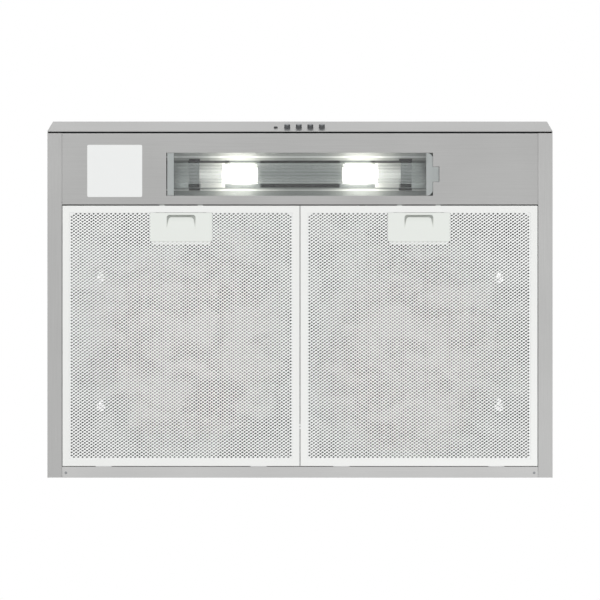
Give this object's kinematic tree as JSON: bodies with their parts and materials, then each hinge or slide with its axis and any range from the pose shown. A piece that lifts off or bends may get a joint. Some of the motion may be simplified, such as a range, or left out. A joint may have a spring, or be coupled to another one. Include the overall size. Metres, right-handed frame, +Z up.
{
  "type": "under-cabinet range hood",
  "caption": "Slim under-cabinet range hood with mesh grease filters, a lamp behind a clear lens, push buttons and a rectangular top duct with a damper.",
  "frame": {"origin": "middle of the four keyhole slots, in the top face that meets the cabinet", "axes": "+X to the right as seen from the front, +Y towards the wall, +Z up"},
  "size_m": [0.7522, 0.5347, 0.1752],
  "materials": {
    "steel_shell": "fine brushed stainless",
    "galvanised": "galvanised sheet, dull",
    "aluminium": "bright mill finish",
    "reflector": "bright rolled",
    "chrome": "polished",
    "latch_plastic": "moulded, satin",
    "dark_plastic": "moulded, matte",
    "lens_clear": "clear, glossy",
    "bulb_glass": "satin white",
    "lamp_porcelain": "glazed white, stands for porcelain",
    "indicator_smoke": "translucent, glossy",
    "label_white": "vinyl film, blank",
    "motor_paint": "black enamel",
    "capacitor_case": "moulded, satin",
    "cable_sheath": "matte",
    "spring_steel": "bright wire"
  },
  "bodies": {
    "hood": {"front_fascia": "steel_shell", "slope_panel": "steel_shell", "top_panel": "steel_shell", "back_panel": "steel_shell", "end_panel_left": "steel_shell", "end_panel_right": "steel_shell", "rear_strip_rivets": "spring_steel", "ground_screw": "spring_steel", "front_pan": "steel_shell", "blank_sticker": "label_white", "lamp_trough": "reflector", "lamp_holder_left": "lamp_porcelain", "lamp_holder_right": "lamp_porcelain", "bulb_left": "bulb_glass", "bulb_right": "bulb_glass", "lens_clip": "spring_steel", "switch_body": "dark_plastic", "switch_nuts": "spring_steel", "indicator_lamp": "indicator_smoke", "scroll_housing_left": "galvanised", "scroll_housing_right": "galvanised", "motor": "motor_paint", "motor_bracket": "galvanised", "duct_collar": "galvanised", "damper_rod": "spring_steel", "junction_box": "galvanised", "junction_cover": "galvanised", "terminal_block": "latch_plastic", "cable_bushing": "dark_plastic", "capacitor": "capacitor_case", "capacitor_clip": "galvanised", "wiring_harness": "cable_sheath", "harness_clips": "galvanised"},
    "filter_left": {"filter_frame_left": "aluminium", "filter_face_left": "aluminium", "filter_layers_left": "aluminium", "latch_housing_left": "latch_plastic", "latch_springs_left": "spring_steel"},
    "latch_left": {"latch_left": "latch_plastic"},
    "filter_right": {"filter_frame_right": "aluminium", "filter_face_right": "aluminium", "filter_layers_right": "aluminium", "latch_housing_right": "latch_plastic", "latch_springs_right": "spring_steel"},
    "latch_right": {"latch_right": "latch_plastic"},
    "lens": {"lamp_lens": "lens_clear"},
    "button_1": {"push_button_1": "chrome"},
    "button_2": {"push_button_2": "chrome"},
    "button_3": {"push_button_3": "chrome"},
    "button_4": {"push_button_4": "chrome"},
    "rotor": {"motor_shaft": "spring_steel", "fan_wheel_left": "galvanised", "fan_wheel_right": "galvanised"},
    "damper_front": {"damper_flap_front": "galvanised"},
    "damper_rear": {"damper_flap_rear": "galvanised"}
  },
  "joints": [
    {"name": "filter_left_drop", "type": "hinge", "parent": "hood", "child": "filter_left", "pos_m": [-0.1766, 0.1807, -0.129], "axis": [1, 0, 0], "range_deg": [0, 70]},
    {"name": "latch_left_pull", "type": "slide", "parent": "filter_left", "child": "latch_left", "axis": [0, 1, 0], "range_m": [0, 0.006], "stiffness_N_per_m": 300, "springref_m": -0.004, "deforming": ["latch_springs_left"]},
    {"name": "filter_right_drop", "type": "hinge", "parent": "hood", "child": "filter_right", "pos_m": [0.1766, 0.1807, -0.129], "axis": [1, 0, 0], "range_deg": [0, 70]},
    {"name": "latch_right_pull", "type": "slide", "parent": "filter_right", "child": "latch_right", "axis": [0, 1, 0], "range_m": [0, 0.006], "stiffness_N_per_m": 300, "springref_m": -0.004, "deforming": ["latch_springs_right"]},
    {"name": "lens_drop", "type": "hinge", "parent": "hood", "child": "lens", "pos_m": [-0.19, -0.2535, -0.124], "axis": [0, 1, 0], "range_deg": [0, 80]},
    {"name": "button_1_press", "type": "slide", "parent": "hood", "child": "button_1", "axis": [0, 0.9487, 0.3162], "range_m": [0, 0.003], "stiffness_N_per_m": 400, "springref_m": -0.002},
    {"name": "button_2_press", "type": "slide", "parent": "hood", "child": "button_2", "axis": [0, 0.9487, 0.3162], "range_m": [0, 0.003], "stiffness_N_per_m": 400, "springref_m": -0.002},
    {"name": "button_3_press", "type": "slide", "parent": "hood", "child": "button_3", "axis": [0, 0.9487, 0.3162], "range_m": [0, 0.003], "stiffness_N_per_m": 400, "springref_m": -0.002},
    {"name": "button_4_press", "type": "slide", "parent": "hood", "child": "button_4", "axis": [0, 0.9487, 0.3162], "range_m": [0, 0.003], "stiffness_N_per_m": 400, "springref_m": -0.002},
    {"name": "rotor_spin", "type": "hinge", "parent": "hood", "child": "rotor", "pos_m": [0, 0.07903, -0.06098], "axis": [1, 0, 0], "continuous": true},
    {"name": "damper_front_lift", "type": "hinge", "parent": "hood", "child": "damper_front", "pos_m": [0, 0.131, 0.012], "axis": [-1, 0, 0], "range_deg": [0, 75]},
    {"name": "damper_rear_lift", "type": "hinge", "parent": "hood", "child": "damper_rear", "pos_m": [0, 0.131, 0.012], "axis": [1, 0, 0], "range_deg": [0, 75]}
  ]
}
